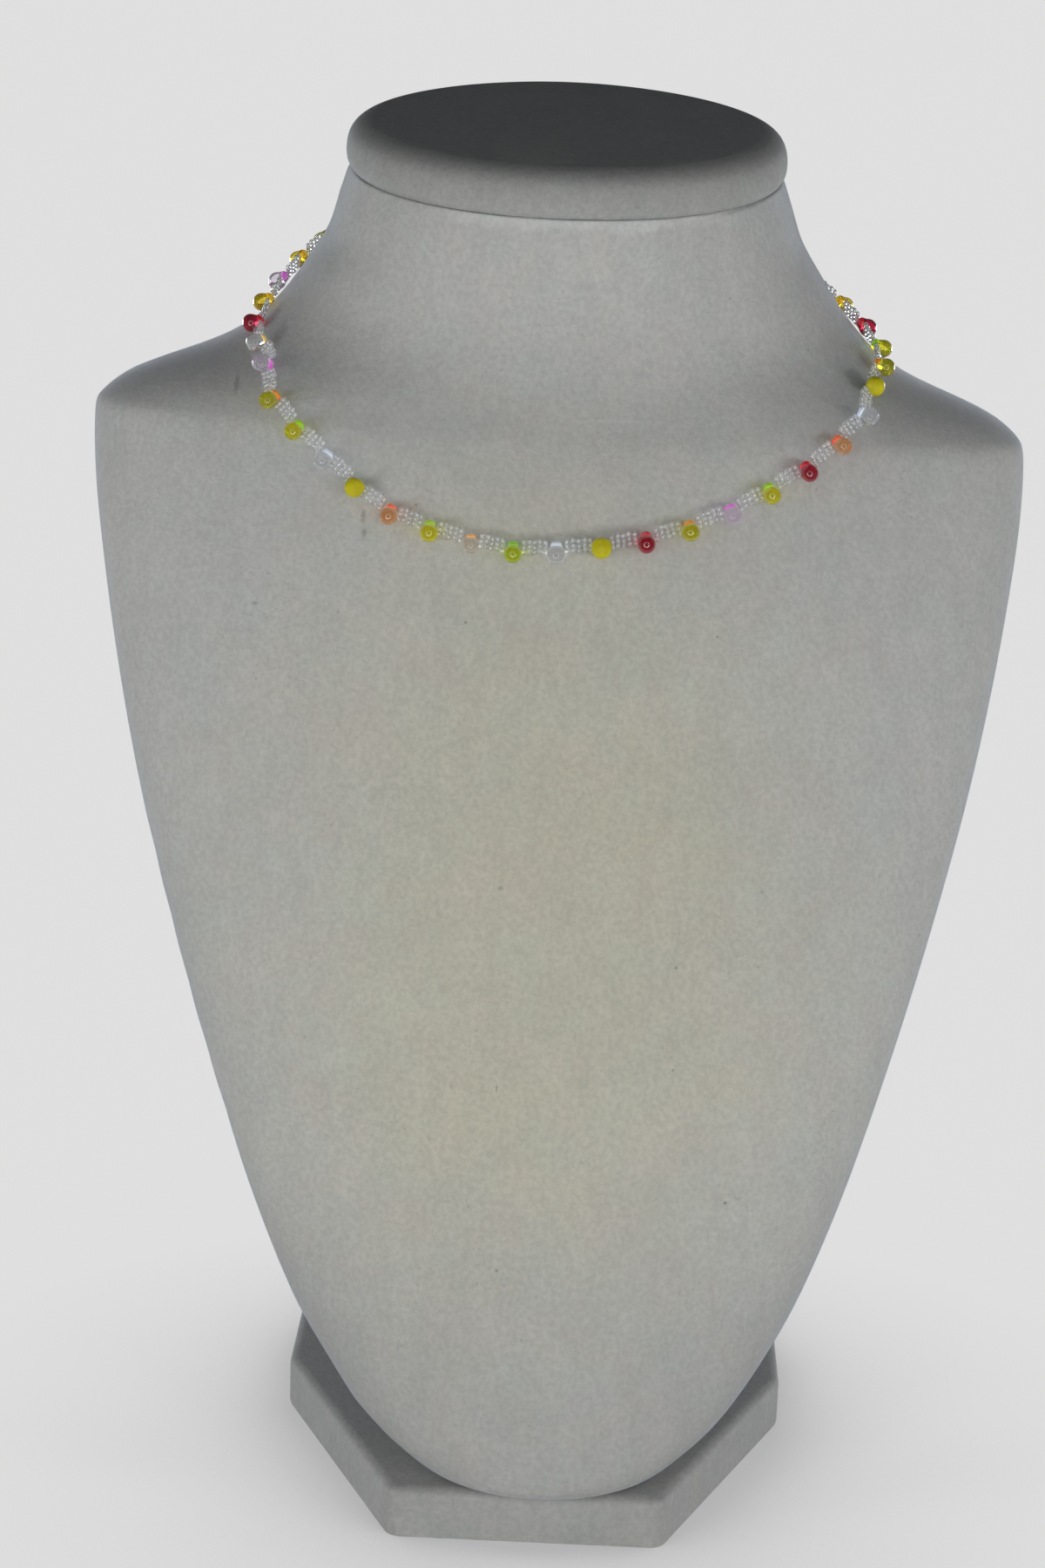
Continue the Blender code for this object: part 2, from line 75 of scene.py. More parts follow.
foot_low, foot_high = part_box("bust_foot")
foot_middle = (foot_low.x + foot_high.x) / 2
lens_place = Vector((foot_middle + LENS_ACROSS, foot_low.y - LENS_OUT, LENS_UP))
back = Vector((
    math.sin(LOOKS_ACROSS) * math.cos(LOOKS_DOWN),
    -math.cos(LOOKS_ACROSS) * math.cos(LOOKS_DOWN),
    math.sin(LOOKS_DOWN),
))
level_right = Vector((0, 0, 1)).cross(back).normalized()
level_up = back.cross(level_right)
right = level_right * math.cos(HELD_TURNED) + level_up * math.sin(HELD_TURNED)
upward = level_up * math.cos(HELD_TURNED) - level_right * math.sin(HELD_TURNED)

camera = bpy.data.objects.new("camera", bpy.data.cameras.new("camera"))
bpy.context.scene.collection.objects.link(camera)
camera.data.lens = LENS
camera.data.sensor_width = SENSOR
camera.data.clip_end = SEES_TO
camera.matrix_world = Matrix.Translation(lens_place) @ Matrix((right, upward, back)).transposed().to_4x4()
bpy.context.scene.camera = camera
print("camera at", tuple(round(v, 3) for v in lens_place))

# %% [markdown]
# ## Small tools for making meshes
# Every new piece starts as a bmesh. When it is done it becomes an object that stays at the
# origin, with its place in its mesh, rides on the one body, and takes its materials.

# %% Turn a bmesh into a piece
SHARP = math.radians(40)


def piece_from(bm, name, materials, stands_for=(), sharp=SHARP):
    mesh = bpy.data.meshes.new(name)
    bm.to_mesh(mesh)
    bm.free()
    for material in materials:
        mesh.materials.append(material)
    mesh.shade_smooth()
    mesh.set_sharp_from_angle(angle=sharp)
    piece = bpy.data.objects.new(name, mesh)
    bpy.context.scene.collection.objects.link(piece)
    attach(piece, "root")
    if stands_for:
        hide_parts(*stands_for)
    return piece


# %% Copy a node's mesh with its loose triangles merged
MERGE = 0.00001


def merged_copy(node):
    bm = bmesh.new()
    bm.from_mesh(nodes[node].data)
    bmesh.ops.remove_doubles(bm, verts=bm.verts, dist=MERGE)
    return bm


# %% [markdown]
# ## Node trees in a few words
# A finish is a small tree of nodes. These helpers add one node, feed its inputs from
# numbers or from other nodes, and hand back the output, so that a material reads as a list
# of what is laid over what.

# %% Helpers for materials


def start_material(name):
    material = bpy.data.materials.new(name)
    material.use_nodes = True
    tree = material.node_tree
    return material, tree, tree.nodes["Principled BSDF"]


def add_node(tree, kind, inputs, output=0, **settings):
    node = tree.nodes.new(kind)
    for key, value in settings.items():
        setattr(node, key, value)
    for key, value in inputs.items():
        if isinstance(value, bpy.types.NodeSocket):
            tree.links.new(value, node.inputs[key])
        else:
            node.inputs[key].default_value = value
    return node.outputs[output]


def own_place(tree, offset=(0, 0, 0), scale=(1, 1, 1), turn=(0, 0, 0)):
    place = add_node(tree, "ShaderNodeTexCoord", {}, "Object")
    return add_node(tree, "ShaderNodeMapping",
                    {"Vector": place, "Location": offset, "Rotation": turn, "Scale": scale})


def noise(tree, place, scale, detail=2.0, roughness=0.5):
    return add_node(tree, "ShaderNodeTexNoise",
                    {"Vector": place, "Scale": scale, "Detail": detail, "Roughness": roughness})


def ramp(tree, value, low, high, to_low=0.0, to_high=1.0):
    return add_node(tree, "ShaderNodeMapRange",
                    {"Value": value, "From Min": low, "From Max": high, "To Min": to_low, "To Max": to_high},
                    interpolation_type="SMOOTHSTEP")


def maths(tree, operation, a, b):
    return add_node(tree, "ShaderNodeMath", {0: a, 1: b}, operation=operation)


def blend_colours(tree, share, under, over, mode="MIX"):
    return add_node(tree, "ShaderNodeMix", {0: share, 6: under, 7: over}, 2,
                    data_type="RGBA", blend_type=mode)


def distance(tree, place):
    return add_node(tree, "ShaderNodeVectorMath", {0: place}, "Value", operation="LENGTH")


def set_values(shader, values):
    for key, value in values.items():
        shader.inputs[key].default_value = value


def two_tones(tree, shader, share, one, other):
    tree.links.new(blend_colours(tree, share, (*one, 1), (*other, 1)), shader.inputs["Base Color"])


def set_bump(tree, shader, height, strength, depth):
    bump = add_node(tree, "ShaderNodeBump", {"Strength": strength, "Distance": depth, "Height": height})
    tree.links.new(bump, shader.inputs["Normal"])


# %% [markdown]
# ## Velvet
# The bust is flocked with a short off-white pile. Close to, it isn't one colour: the pile
# lies this way and that, so it is mottled, it has yellowed a little over the chest, it is
# cooler and bluer towards its sides, and it has picked up dark specks and a few marks. A
# painted shade darkens the faces that look upwards, such as the tops of the shoulders, and
# the velvet is greyer towards the bottom, near the foot.
# The pattern reads the piece's own place in metres, so it stays put from every side. A sheen
# gives the soft pale edge that fibres have where the surface turns away.

# %% The marks on the chest
# Each mark: middle across, middle up, half width and half height in millimetres, turn in
# degrees, and how dark it is; a pale one is below nought.
MARK_COLUMNS = ("across", "up", "wide", "high", "turn", "dark")
MARKS = (
    (-40.5, 210.6, 0.7, 1.7, 8, 0.40),
    (-40.2, 207.4, 0.7, 1.1, -10, 0.45),
    (-60.8, 246.2, 0.9, 1.6, -18, 0.25),
    (-69.6, 235.1, 0.7, 2.4, -12, 0.40),
    (-62.8, 191.9, 0.9, 0.5, 0, 0.35),
    (-60.3, 198.1, 0.4, 0.4, 0, 0.35),
    (-45.0, 191.4, 0.4, 0.4, 0, 0.30),
    (-51.4, 180.6, 0.5, 0.4, 0, 0.18),
    (-62.0, 176.5, 0.4, 0.4, 0, 0.30),
    (41.6, 73.4, 0.50, 0.42, 0, 0.80),
    (12.4, 231.1, 9.5, 0.45, 16, -0.16),
    (-8.3, 137.5, 0.7, 0.5, 0, 0.35),
    (-7.5, 97.2, 0.22, 1.0, 5, 0.50),
    (-48.6, 104.5, 0.5, 0.4, 0, 0.30),
    (-6.0, 83.1, 1.4, 1.0, 0, 0.07),
)


SPECK_DARK = (0.16, 0.15, 0.13, 1)
PILE_PALE = (0.86, 0.88, 0.90, 1)
RAGGED_SCALE = 1500.0
RAGGED_SHARE = 0.8
MARK_INNER = 0.6
MARK_OUTER = 1.6


def mark_mask(tree, mark):
    """A soft-edged oval, laid straight through the bust along its depth."""
    place = add_node(tree, "ShaderNodeTexCoord", {}, "Object")
    moved = add_node(tree, "ShaderNodeVectorMath",
                     {0: place, 1: (mark["across"] * MM, 0.0, mark["up"] * MM)}, operation="SUBTRACT")
    turned = add_node(tree, "ShaderNodeMapping",
                      {"Vector": moved, "Rotation": (0, math.radians(mark["turn"]), 0),
                       "Scale": (1 / (mark["wide"] * MM), 0.0, 1 / (mark["high"] * MM))})
    uneven = maths(tree, "MULTIPLY", noise(tree, place, RAGGED_SCALE), RAGGED_SHARE)
    ragged = maths(tree, "ADD", distance(tree, turned), uneven)
    return ramp(tree, ragged, MARK_INNER, MARK_OUTER, 1.0, 0.0)


def lay_marks(tree, colour, marks):
    for row in marks:
        mark = dict(zip(MARK_COLUMNS, row))
        tint = SPECK_DARK if mark["dark"] > 0 else PILE_PALE
        mask = maths(tree, "MULTIPLY", mark_mask(tree, mark), abs(mark["dark"]))
        colour = blend_colours(tree, mask, colour, tint)
    return colour


# %% Velvet's tones, from its yellowed middle to its cool sides
WARM_MIDDLE = (0.0, -0.02, 0.13)
WARM_REACH = (0.080, 0.20, 0.115)
VELVET_WARM = (0.620, 0.612, 0.520, 1)
VELVET_COOL = (0.575, 0.585, 0.578, 1)
VELVET_STAIN = (0.605, 0.585, 0.470, 1)
STAIN_SCALE = 22.0
STAIN_SHARE = 0.6
DRIFT_ROSE = (1.012, 0.994, 0.991, 1)
DRIFT_MOSS = (0.982, 1.002, 1.000, 1)
DRIFT_SCALE = 75.0
DRIFT_APART = (3, 5, 7)


def velvet_tones(tree, place, warm_share):
    warm_place = own_place(tree, tuple(-a / b for a, b in zip(WARM_MIDDLE, WARM_REACH)),
                           tuple(1 / b for b in WARM_REACH))
    edge = maths(tree, "MULTIPLY", noise(tree, place, 14.0, 3.0), 0.5)
    warm = ramp(tree, maths(tree, "ADD", distance(tree, warm_place), edge), 0.45, 1.35, warm_share, 0.0)
    colour = blend_colours(tree, warm, VELVET_COOL, VELVET_WARM)
    stain = maths(tree, "MULTIPLY", ramp(tree, noise(tree, place, STAIN_SCALE, 4.0, 0.6), 0.50, 0.72), warm)
    colour = blend_colours(tree, maths(tree, "MULTIPLY", stain, STAIN_SHARE), colour, VELVET_STAIN)
    drift = ramp(tree, noise(tree, own_place(tree, DRIFT_APART), DRIFT_SCALE, 4.0, 0.6), 0.35, 0.65)
    return blend_colours(tree, 1.0, colour, blend_colours(tree, drift, DRIFT_ROSE, DRIFT_MOSS), "MULTIPLY")


# %% Velvet's specks and lint
SPECK_CELLS = 170.0
SPECK_SHARE = 0.55
LINT_SCALE = 1300.0
LINT_PATCHES = 62.0
LINT_SHARE = 0.30


def lay_specks(tree, colour, place):
    """Few of the cells have a speck; lint lies in patches."""
    specks = tree.nodes.new("ShaderNodeTexVoronoi")
    specks.inputs["Scale"].default_value = SPECK_CELLS
    tree.links.new(place, specks.inputs["Vector"])
    rare = add_node(tree, "ShaderNodeSeparateColor", {0: specks.outputs["Color"]}, 0)
    dot = ramp(tree, specks.outputs["Distance"], 0.03, 0.075, 1.0, 0.0)
    dot = maths(tree, "MULTIPLY", dot, ramp(tree, rare, 0.93, 0.95))
    colour = blend_colours(tree, maths(tree, "MULTIPLY", dot, SPECK_SHARE), colour, SPECK_DARK)
    patches = ramp(tree, noise(tree, place, LINT_PATCHES, 2.0), 0.48, 0.68)
    lint = ramp(tree, noise(tree, place, LINT_SCALE, 3.0, 0.6), 0.58, 0.74)
    lint = maths(tree, "MULTIPLY", maths(tree, "MULTIPLY", lint, patches), LINT_SHARE)
    return blend_colours(tree, lint, colour, SPECK_DARK)


# %% Velvet's light and dark
MOTTLE = ((45.0, 0.022), (190.0, 0.016), (900.0, 0.08))
BRUSHED_SCALE = (260, 260, 45)
BRUSHED_TURN = (0, 0.35, 0)
BRUSHED_DEPTH = 0.02
# Painted shade: the more a face looks upwards, the darker it is made.
TOP_PAINTED_SHADE = 0.78
TOP_SHADE_FROM = 0.30
TOP_SHADE_TO = 0.84
# The velvet is made greyer towards the bottom, near the foot.
TIP_GREY = 0.85
TIP_FROM = 0.015
TIP_TO = 0.090


def velvet_shade(tree, place, top_shade, brightness, tip):
    """Mottle, scale by scale, the lie of the pile, painted shade on what faces up, and a grey towards the
    bottom.
    """
    shade = None
    for scale, depth in MOTTLE:
        layer = ramp(tree, noise(tree, place, scale, 3.0, 0.6), 0.25, 0.75, 1.0 - depth, 1.0 + depth)
        shade = layer if shade is None else maths(tree, "MULTIPLY", shade, layer)
    brushed = noise(tree, own_place(tree, scale=BRUSHED_SCALE, turn=BRUSHED_TURN), 1.0, 3.0)
    lie = ramp(tree, brushed, 0.3, 0.7, 1.0 - BRUSHED_DEPTH, 1.0 + BRUSHED_DEPTH)
    shade = maths(tree, "MULTIPLY", shade, lie)
    faces = add_node(tree, "ShaderNodeNewGeometry", {}, "Normal")
    faces_up = add_node(tree, "ShaderNodeSeparateXYZ", {0: faces}, 2)
    # Painted shade on the faces that look upwards.
    shade = maths(tree, "MULTIPLY", shade, ramp(tree, faces_up, TOP_SHADE_FROM, TOP_SHADE_TO, brightness, brightness * top_shade))
    height = add_node(tree, "ShaderNodeSeparateXYZ", {0: place}, 2)
    return maths(tree, "MULTIPLY", shade, ramp(tree, height, TIP_FROM, TIP_TO, tip, 1.0))


# %% Velvet, all of it
SHEEN_TINT = (0.82, 0.88, 1.0, 1)
PILE_SCALE = 2200.0
TUFT_SCALE = 520.0
TUFT_SHARE = 1.2
PILE_STRENGTH = 0.45
PILE_DEPTH = 0.0003


def velvet(name, warm_share=1.0, marks=(), seam=None, sheen=0.85, top_shade=TOP_PAINTED_SHADE, brightness=1.0, tip=1.0):
    material, tree, shader = start_material(name)
    place = own_place(tree)
    colour = velvet_tones(tree, place, warm_share)
    colour = lay_specks(tree, colour, place)
    colour = lay_marks(tree, colour, marks)
    if seam is not None:
        colour = blend_colours(tree, seam(tree), colour, PILE_PALE)
    shade = velvet_shade(tree, place, top_shade, brightness, tip)
    shade_colour = add_node(tree, "ShaderNodeCombineColor", {0: shade, 1: shade, 2: shade})
    colour = blend_colours(tree, 1.0, colour, shade_colour, "MULTIPLY")
    tree.links.new(colour, shader.inputs["Base Color"])
    tree.links.new(ramp(tree, noise(tree, place, 300.0), 0.3, 0.7, 0.82, 0.98), shader.inputs["Roughness"])
    set_values(shader, {"Specular IOR Level": 0.15, "Sheen Weight": sheen, "Sheen Roughness": 0.35,
                        "Sheen Tint": SHEEN_TINT})
    tufts = maths(tree, "MULTIPLY", noise(tree, place, TUFT_SCALE, 2.0), TUFT_SHARE)
    pile = maths(tree, "ADD", noise(tree, place, PILE_SCALE, 3.0, 0.7), tufts)
    set_bump(tree, shader, pile, PILE_STRENGTH, PILE_DEPTH)
    return material


# %% [markdown]
# ## The seam below the neck's end plate
# Where the plate's velvet is glued down, the pile of the neck is brushed up against it, and
# the fold under the rim catches the light. That shows as a paler, fuzzy line just below the
# seam, over the middle of the neck, painted as partly brushed pile and partly a painted
# highlight. The plate leans forward by ten degrees, and the bust is turned a little on its
# foot, so the line is found by its distance below the leaning plane of the seam.

# %% The pale line as a mask
NECK_TILT = math.radians(10.0)
BUST_TURN = math.radians(3.3)
PLATE_WAY = Vector((
    math.sin(NECK_TILT) * math.sin(BUST_TURN),
    -math.sin(NECK_TILT) * math.cos(BUST_TURN),
    math.cos(NECK_TILT),
))
seam_reach = max(v.co.dot(PLATE_WAY) for v in nodes["bust_torso"].data.vertices)
FUZZ_DEPTH = 0.0024
FUZZ_AND_HIGHLIGHT_SHARE = 0.28
FUZZ_FROM = -0.024
FUZZ_TO = 0.034
FUZZ_RAGGED = 0.0011
SOFT_START = 0.004
SOFT_END = 0.006


# A paler line below the seam: partly brushed-up pile, partly a painted highlight along the fold.
def seam_fuzz_and_highlight(tree):
    place = add_node(tree, "ShaderNodeTexCoord", {}, "Object")
    along_plate = add_node(tree, "ShaderNodeVectorMath", {0: place, 1: PLATE_WAY}, "Value",
                           operation="DOT_PRODUCT")
    below = maths(tree, "SUBTRACT", seam_reach, along_plate)
    uneven = ramp(tree, noise(tree, place, 130.0, 4.0, 0.65), 0.3, 0.7, -1.0, 1.0)
    ragged = maths(tree, "ADD", below, maths(tree, "MULTIPLY", uneven, FUZZ_RAGGED))
    line = ramp(tree, ragged, FUZZ_DEPTH * 0.45, FUZZ_DEPTH * 1.3, 1.0, 0.0)
    across = add_node(tree, "ShaderNodeSeparateXYZ", {0: place}, 0)
    start = ramp(tree, across, FUZZ_FROM - SOFT_START, FUZZ_FROM + SOFT_START)
    end = ramp(tree, across, FUZZ_TO - SOFT_END, FUZZ_TO + SOFT_END, 1.0, 0.0)
    line = maths(tree, "MULTIPLY", line, maths(tree, "MULTIPLY", start, end))
    return maths(tree, "MULTIPLY", line, FUZZ_AND_HIGHLIGHT_SHARE)


velvet_body = velvet("velvet_body", marks=MARKS, seam=seam_fuzz_and_highlight, tip=TIP_GREY)
# The plate's and the foot's velvet are made darker all over.
velvet_plate = velvet("velvet_plate", warm_share=0.4, sheen=0.10, top_shade=0.75, brightness=0.78)
velvet_foot = velvet("velvet_foot", warm_share=0.0, sheen=0.15, brightness=0.76)
print("velvet: three materials,", len(MARKS), "marks")

# %% [markdown]
# ## The bust's smooth skin
# The frame's torso and plate are faceted, good for testing but not for looking at. The
# copy is merged, its triangles are joined back into four-sided faces, and a Subdivision
# Surface rounds it. Edges round a flat end are creased, so that the end keeps its size.

# %% Smooth copies of the torso and the plate
SKIN_LEVELS = 2
ON_END = 0.00005
SEAM_GAP = 0.00027


def smooth_skin(node, name, material, end_ways, drawn_out=0.0):
    """The last of the end ways is the one where the skin is drawn out to close a seam."""
    bm = merged_copy(node)
    reach = [max(v.co.dot(way) for v in bm.verts) for way in end_ways]
    last = [v for v in bm.verts if v.co.dot(end_ways[-1]) > reach[-1] - ON_END]
    bmesh.ops.translate(bm, verts=last, vec=end_ways[-1] * drawn_out)
    reach[-1] += drawn_out
    bmesh.ops.join_triangles(bm, faces=bm.faces, angle_face_threshold=math.pi,
                             angle_shape_threshold=math.pi)
    crease = bm.edges.layers.float.new("crease_edge")
    for way, far in zip(end_ways, reach):
        ends = [f for f in bm.faces if all(v.co.dot(way) > far - ON_END for v in f.verts)]
        rim = {e for f in ends for e in f.edges if not all(g in ends for g in e.link_faces)}
        for edge in rim:
            edge[crease] = 1.0
    piece = piece_from(bm, name, [material], [node])
    rounding = piece.modifiers.new("Subdivision", "SUBSURF")
    rounding.levels = SKIN_LEVELS
    rounding.render_levels = SKIN_LEVELS
    return piece


torso = smooth_skin("bust_torso", "velvet_torso", velvet_body, (Vector((0, 0, -1)), PLATE_WAY))
plate = smooth_skin("neck_cap", "velvet_neck_plate", velvet_plate, (PLATE_WAY, -PLATE_WAY), SEAM_GAP)
print("skins:", len(torso.data.polygons), "and", len(plate.data.polygons), "faces before rounding")


# %% [markdown]
# ## The foot
# An eight-sided board wrapped in the same velvet. Its corners are known from the frame's
# box, the width of its front face and the length of its straight sides. One face is made
# from them, extruded upwards, and every edge but those underneath gets a soft bevel.

# %% Make the foot
FOOT_FRONT = 0.058
FOOT_SIDE = 0.0336
FOOT_ROUND = 0.0024
FOOT_SEGMENTS = 6


def make_foot():
    thickness = foot_high.z - foot_low.z
    depth_middle = (foot_low.y + foot_high.y) / 2
    half_outline = [
        (FOOT_FRONT / 2, foot_low.y),
        (foot_high.x - foot_middle, depth_middle - FOOT_SIDE / 2),
        (foot_high.x - foot_middle, depth_middle + FOOT_SIDE / 2),
        (FOOT_FRONT / 2, foot_high.y),
    ]
    outline = half_outline + [(-x, y) for x, y in reversed(half_outline)]
    bm = bmesh.new()
    under = bm.faces.new([bm.verts.new((foot_middle + x, y, foot_low.z)) for x, y in outline])
    grown = bmesh.ops.extrude_face_region(bm, geom=[under])
    lifted = [item for item in grown["geom"] if isinstance(item, bmesh.types.BMVert)]
    bmesh.ops.translate(bm, verts=lifted, vec=(0, 0, thickness))
    bmesh.ops.recalc_face_normals(bm, faces=bm.faces)
    soft = [e for e in bm.edges if max(v.co.z for v in e.verts) > foot_low.z + thickness / 2]
    bmesh.ops.bevel(bm, geom=soft, offset=FOOT_ROUND, segments=FOOT_SEGMENTS, profile=0.5,
                    affect="EDGES", material=-1)
    return piece_from(bm, "velvet_foot_board", [velvet_foot], ["bust_foot"])


foot = make_foot()
print("foot:", len(foot.data.polygons), "faces")

# %% [markdown]
# ## Reading the choker's line from the frame
# In the frame the woven band is one solid: a panel between every two drops, and bare thread
# through their bores. The thread's short rings are six points close together, which the
# panels' rings aren't, so they are easy to find. The two rings nearest a drop give the
# middle and the direction of its bore; what lies between two drops is a panel of beads.

# %% Find the bare thread's rings
RING_POINTS = 6
RING_REACH = 0.00055


def thread_rings():
    bm = merged_copy("seed_band")
    points = [v.co.copy() for v in bm.verts]
    bm.free()
    tree = KDTree(len(points))
    for index, point in enumerate(points):
        tree.insert(point, index)
    tree.balance()
    found = []
    for point in points:
        near = tree.find_range(point, RING_REACH)
        if len(near) == RING_POINTS:
            middle = sum((item[0] for item in near), Vector()) / RING_POINTS
            if all((middle - other).length > RING_REACH for other in found):
                found.append(middle)
    return found


rings = thread_rings()
drop_names = sorted(name for name in nodes if name.startswith("drop_"))
print("thread rings:", len(rings), "drops:", len(drop_names))

# %% Each drop's bore, from one ring to the next


def middle_of(node):
    low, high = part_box(node)
    return (low + high) / 2


def bores():
    """For each drop the ring before it and the ring after it, going round from the clasp."""
    middles = [middle_of(name) for name in drop_names]
    after = middles[1:] + [middle_of("clasp")]
    pairs = []
    for middle, ahead in zip(middles, after):
        near = sorted(rings, key=lambda ring: (ring - middle).length)[:2]
        near.sort(key=lambda ring: -(ring - ahead).length)
        pairs.append(near)
    return pairs


bore_pairs = bores()
used = [ring for pair in bore_pairs for ring in pair]
beside_clasp = [ring for ring in rings if all((ring - other).length > RING_REACH for other in used)]
beside_clasp.sort(key=lambda ring: (ring - middle_of(drop_names[-1])).length)
print("rings left beside the clasp:", len(beside_clasp))

# %% The line through all of them, and the way off the bust
# On the shoulders the stiff band doesn't lie flat but stands nearly upright, so the upward
# part of the way off the bust is taken much smaller than it is.
skin = torso.evaluated_get(bpy.context.evaluated_depsgraph_get())
skin_tree = BVHTree.FromPolygons([v.co.copy() for v in skin.data.vertices],
                                 [tuple(p.vertices) for p in skin.data.polygons])
chain = [beside_clasp[1]] + used + [beside_clasp[0]]
STANDS_UP = 0.15
NEARBY = 0.02


def smooth_line(index, share):
    """A point between two rings of the closed chain, on a curve that bends evenly."""
    a, b, c, d = (chain[(index + k) % len(chain)] for k in (-1, 0, 1, 2))
    span = (c - b).length
    start = (c - a).normalized() * span
    end = (d - b).normalized() * span
    t = share
    return (b * (2 * t ** 3 - 3 * t ** 2 + 1) + start * (t ** 3 - 2 * t ** 2 + t)
            + c * (3 * t ** 2 - 2 * t ** 3) + end * (t ** 3 - t ** 2))


def off_bust(point):
    nearest = skin_tree.find_nearest(point)[0]
    return (point - nearest).normalized()


def frame_on_line(index, share):
    """The place on the line, and the ways along, up across the band, and off the bust."""
    place = smooth_line(index, share)
    along = (smooth_line(index, share + NEARBY) - smooth_line(index, share - NEARBY)).normalized()
    off = off_bust(place)
    off.z *= STANDS_UP
    up = off.cross(along).normalized()
    return place, along, up, along.cross(up)


def panel_length(panel):
    return (smooth_line(2 * panel, 1.0) - smooth_line(2 * panel, 0.0)).length


lengths = [panel_length(panel) / MM for panel in range(len(drop_names) + 1)]
print("panels:", len(lengths), "from %.2f to %.2f mm" % (min(lengths), max(lengths)))

# %% [markdown]
# ## Clear and coloured glass
# Glass is the Principled shader with full transmission. Light from the lamps would stop at
# it, and everything seen through a bead would be black, so a Transparent shader stands in
# for the glass on shadow rays only. A drop's bore is lined with bright paint, which also glows
# a little: painted light that keeps it bright inside the glass. The paint lies on the glass
# itself, which makes it look as wide as the bead's whole narrow top. Pressed drops are lustred,
# a thin hard coat that doubles the shine, so each mirrors the ring of light. The clear and
# lilac ones have half of it, because their bodies are softer in the photo.

# %% Glass, lining and satin glass
GLASS_IOR = 1.50
LUSTRE_IOR = 1.85
LUSTRE_ROUGHNESS = 0.03
RIPPLE_DEPTH = 0.00004
# The lining paint glows a little: painted light.
LINING_GLOW = 0.25


def glass(name, tint, roughness=0.02, cloudy=0.0, shadow=0.85, lustre=1.0):
    material, tree, shader = start_material(name)
    set_values(shader, {"Base Color": (*tint, 1), "Transmission Weight": 1.0 - cloudy,
                        "Roughness": roughness, "IOR": GLASS_IOR, "Coat Weight": lustre,
                        "Coat Roughness": LUSTRE_ROUGHNESS, "Coat IOR": LUSTRE_IOR})
    set_bump(tree, shader, noise(tree, own_place(tree), 900.0, 1.0), 0.12, RIPPLE_DEPTH)
    clear = add_node(tree, "ShaderNodeBsdfTransparent", {"Color": (*(c * shadow for c in tint), 1)})
    path = add_node(tree, "ShaderNodeLightPath", {}, "Is Shadow Ray")
    mixed = add_node(tree, "ShaderNodeMixShader", {0: path, 1: shader.outputs[0], 2: clear})
    tree.links.new(mixed, tree.nodes["Material Output"].inputs["Surface"])
    return material


def paint(name, colour):
    material, tree, shader = start_material(name)
    pale = tuple(min(1.0, c * 1.15 + 0.02) for c in colour)
    uneven = ramp(tree, noise(tree, own_place(tree), 1800.0), 0.3, 0.7)
    two_tones(tree, shader, uneven, colour, pale)
    set_values(shader, {"Roughness": 0.5, "Emission Color": (*colour, 1), "Emission Strength": LINING_GLOW})
    return material


def satin_glass(name, colour):
    material, tree, shader = start_material(name)
    place = own_place(tree)
    pale = tuple(min(1.0, c * 1.12) for c in colour)
    clouds = ramp(tree, noise(tree, place, 500.0, 2.0), 0.35, 0.65)
    two_tones(tree, shader, clouds, colour, pale)
    set_values(shader, {"Subsurface Weight": 0.35, "Subsurface Radius": (0.0012, 0.0010, 0.0003),
                        "Subsurface Scale": 1.0})
    tree.links.new(ramp(tree, clouds, 0.0, 1.0, 0.34, 0.42), shader.inputs["Roughness"])
    set_bump(tree, shader, noise(tree, place, 4000.0), 0.15, RIPPLE_DEPTH)
    return material


# %% The drops' colours
# Each finish: the slot it takes, the glass's tint and the lining's colour.
FINISH_COLUMNS = ("slot", "tint", "lining")
COLOURED_CLOUD = 0.15
CLEAR_CLOUD = 0.10
CLEAR_LUSTRE = 0.5
FINISHES = {
    "red": ("glass_red", (0.62, 0.02, 0.07), (0.90, 0.14, 0.16)),
    "gold": ("glass_yellow", (0.88, 0.70, 0.02), (0.90, 0.66, 0.03)),
    "gold_lined": ("glass_clear", (0.92, 0.93, 0.93), (0.88, 0.62, 0.12)),
    "white_lined": ("glass_clear", (0.93, 0.94, 0.96), (0.72, 0.79, 0.95)),
    "orange_lined": ("glass_clear", (0.90, 0.86, 0.80), (1.00, 0.42, 0.06)),
    "rose_lined": ("glass_lilac", (0.92, 0.87, 0.95), (0.80, 0.16, 0.72)),
    "olive": ("glass_olive", (0.80, 0.80, 0.02), (1.00, 0.25, 0.05)),
    "lime": ("glass_lime", (0.94, 0.88, 0.02), (0.28, 0.72, 0.03)),
    "green": ("glass_lime", (0.78, 0.86, 0.02), (0.16, 0.66, 0.03)),
    "peach": ("glass_peach", (0.95, 0.60, 0.30), (1.00, 0.17, 0.10)),
    "lemon": ("glass_lemon", (0.62, 0.56, 0.01), (0.62, 0.56, 0.01)),
}
# From the clasp round by the viewer's left, the front and the viewer's right
DROP_FINISHES = (
    "red", "white_lined", "peach", "lime", "gold_lined", "lemon", "olive",
    "gold", "rose_lined", "gold", "red", "gold_lined", "rose_lined", "olive", "lime", "white_lined",
    "lemon", "peach", "lime", "orange_lined", "green", "white_lined", "lemon", "red", "olive",
    "rose_lined", "lime", "red", "peach", "white_lined", "lemon", "olive", "lime", "red", "gold",
    "white_lined", "peach", "lime", "red", "lemon", "gold_lined", "olive",
)


